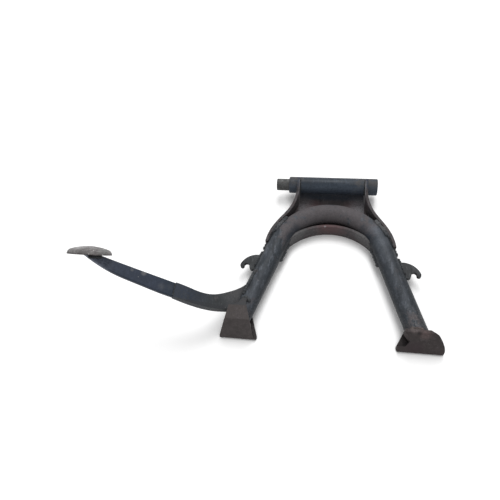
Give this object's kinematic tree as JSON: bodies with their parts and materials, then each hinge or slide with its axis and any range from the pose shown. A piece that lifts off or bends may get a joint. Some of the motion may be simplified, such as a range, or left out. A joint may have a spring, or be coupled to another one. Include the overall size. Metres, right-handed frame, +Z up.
{
  "type": "motorcycle centre stand",
  "caption": "Welded tube motorcycle centre stand with pivot tube and collar, folded feet, spring hooks and a domed foot lever, lying with its rear side up.",
  "frame": {"origin": "middle of the pivot axis, in the bore of the pivot collar", "axes": "+X right along the pivot axis, +Y from the feet to the pivot tube, +Z up out of the stand's rear side, as it lies"},
  "size_m": [0.4714, 0.2601, 0.1414],
  "materials": {
    "blue_black_paint": "worn semi-matt blue-black paint with dirt and rust",
    "brown_rust": "dull rusty brown with paint remains",
    "worn_steel": "rubbed grey-brown steel"
  },
  "bodies": {
    "stand": {"leg_tube": "blue_black_paint", "pivot_tube": "blue_black_paint", "saddle_bracket": "brown_rust", "left_foot": "brown_rust", "right_foot": "brown_rust", "left_spring_hook": "blue_black_paint", "right_spring_hook": "blue_black_paint", "lever_arm": "blue_black_paint", "lever_gusset": "blue_black_paint", "foot_pad": "worn_steel", "left_outer_flange_weld": "blue_black_paint", "right_outer_flange_weld": "blue_black_paint", "left_inner_flange_weld": "brown_rust", "right_inner_flange_weld": "brown_rust", "left_pivot_weld": "blue_black_paint", "right_pivot_weld": "blue_black_paint", "left_hook_weld": "blue_black_paint", "right_hook_weld": "blue_black_paint", "left_foot_weld": "brown_rust", "right_foot_weld": "brown_rust", "gusset_leg_weld": "blue_black_paint", "gusset_bar_weld": "blue_black_paint", "pad_weld": "worn_steel"},
    "collar": {"pivot_collar": "worn_steel"}
  },
  "joints": [
    {"name": "pivot_turn", "type": "hinge", "parent": "stand", "child": "collar", "pos_m": [0, 0, 0], "axis": [1, 0, 0], "continuous": true}
  ]
}
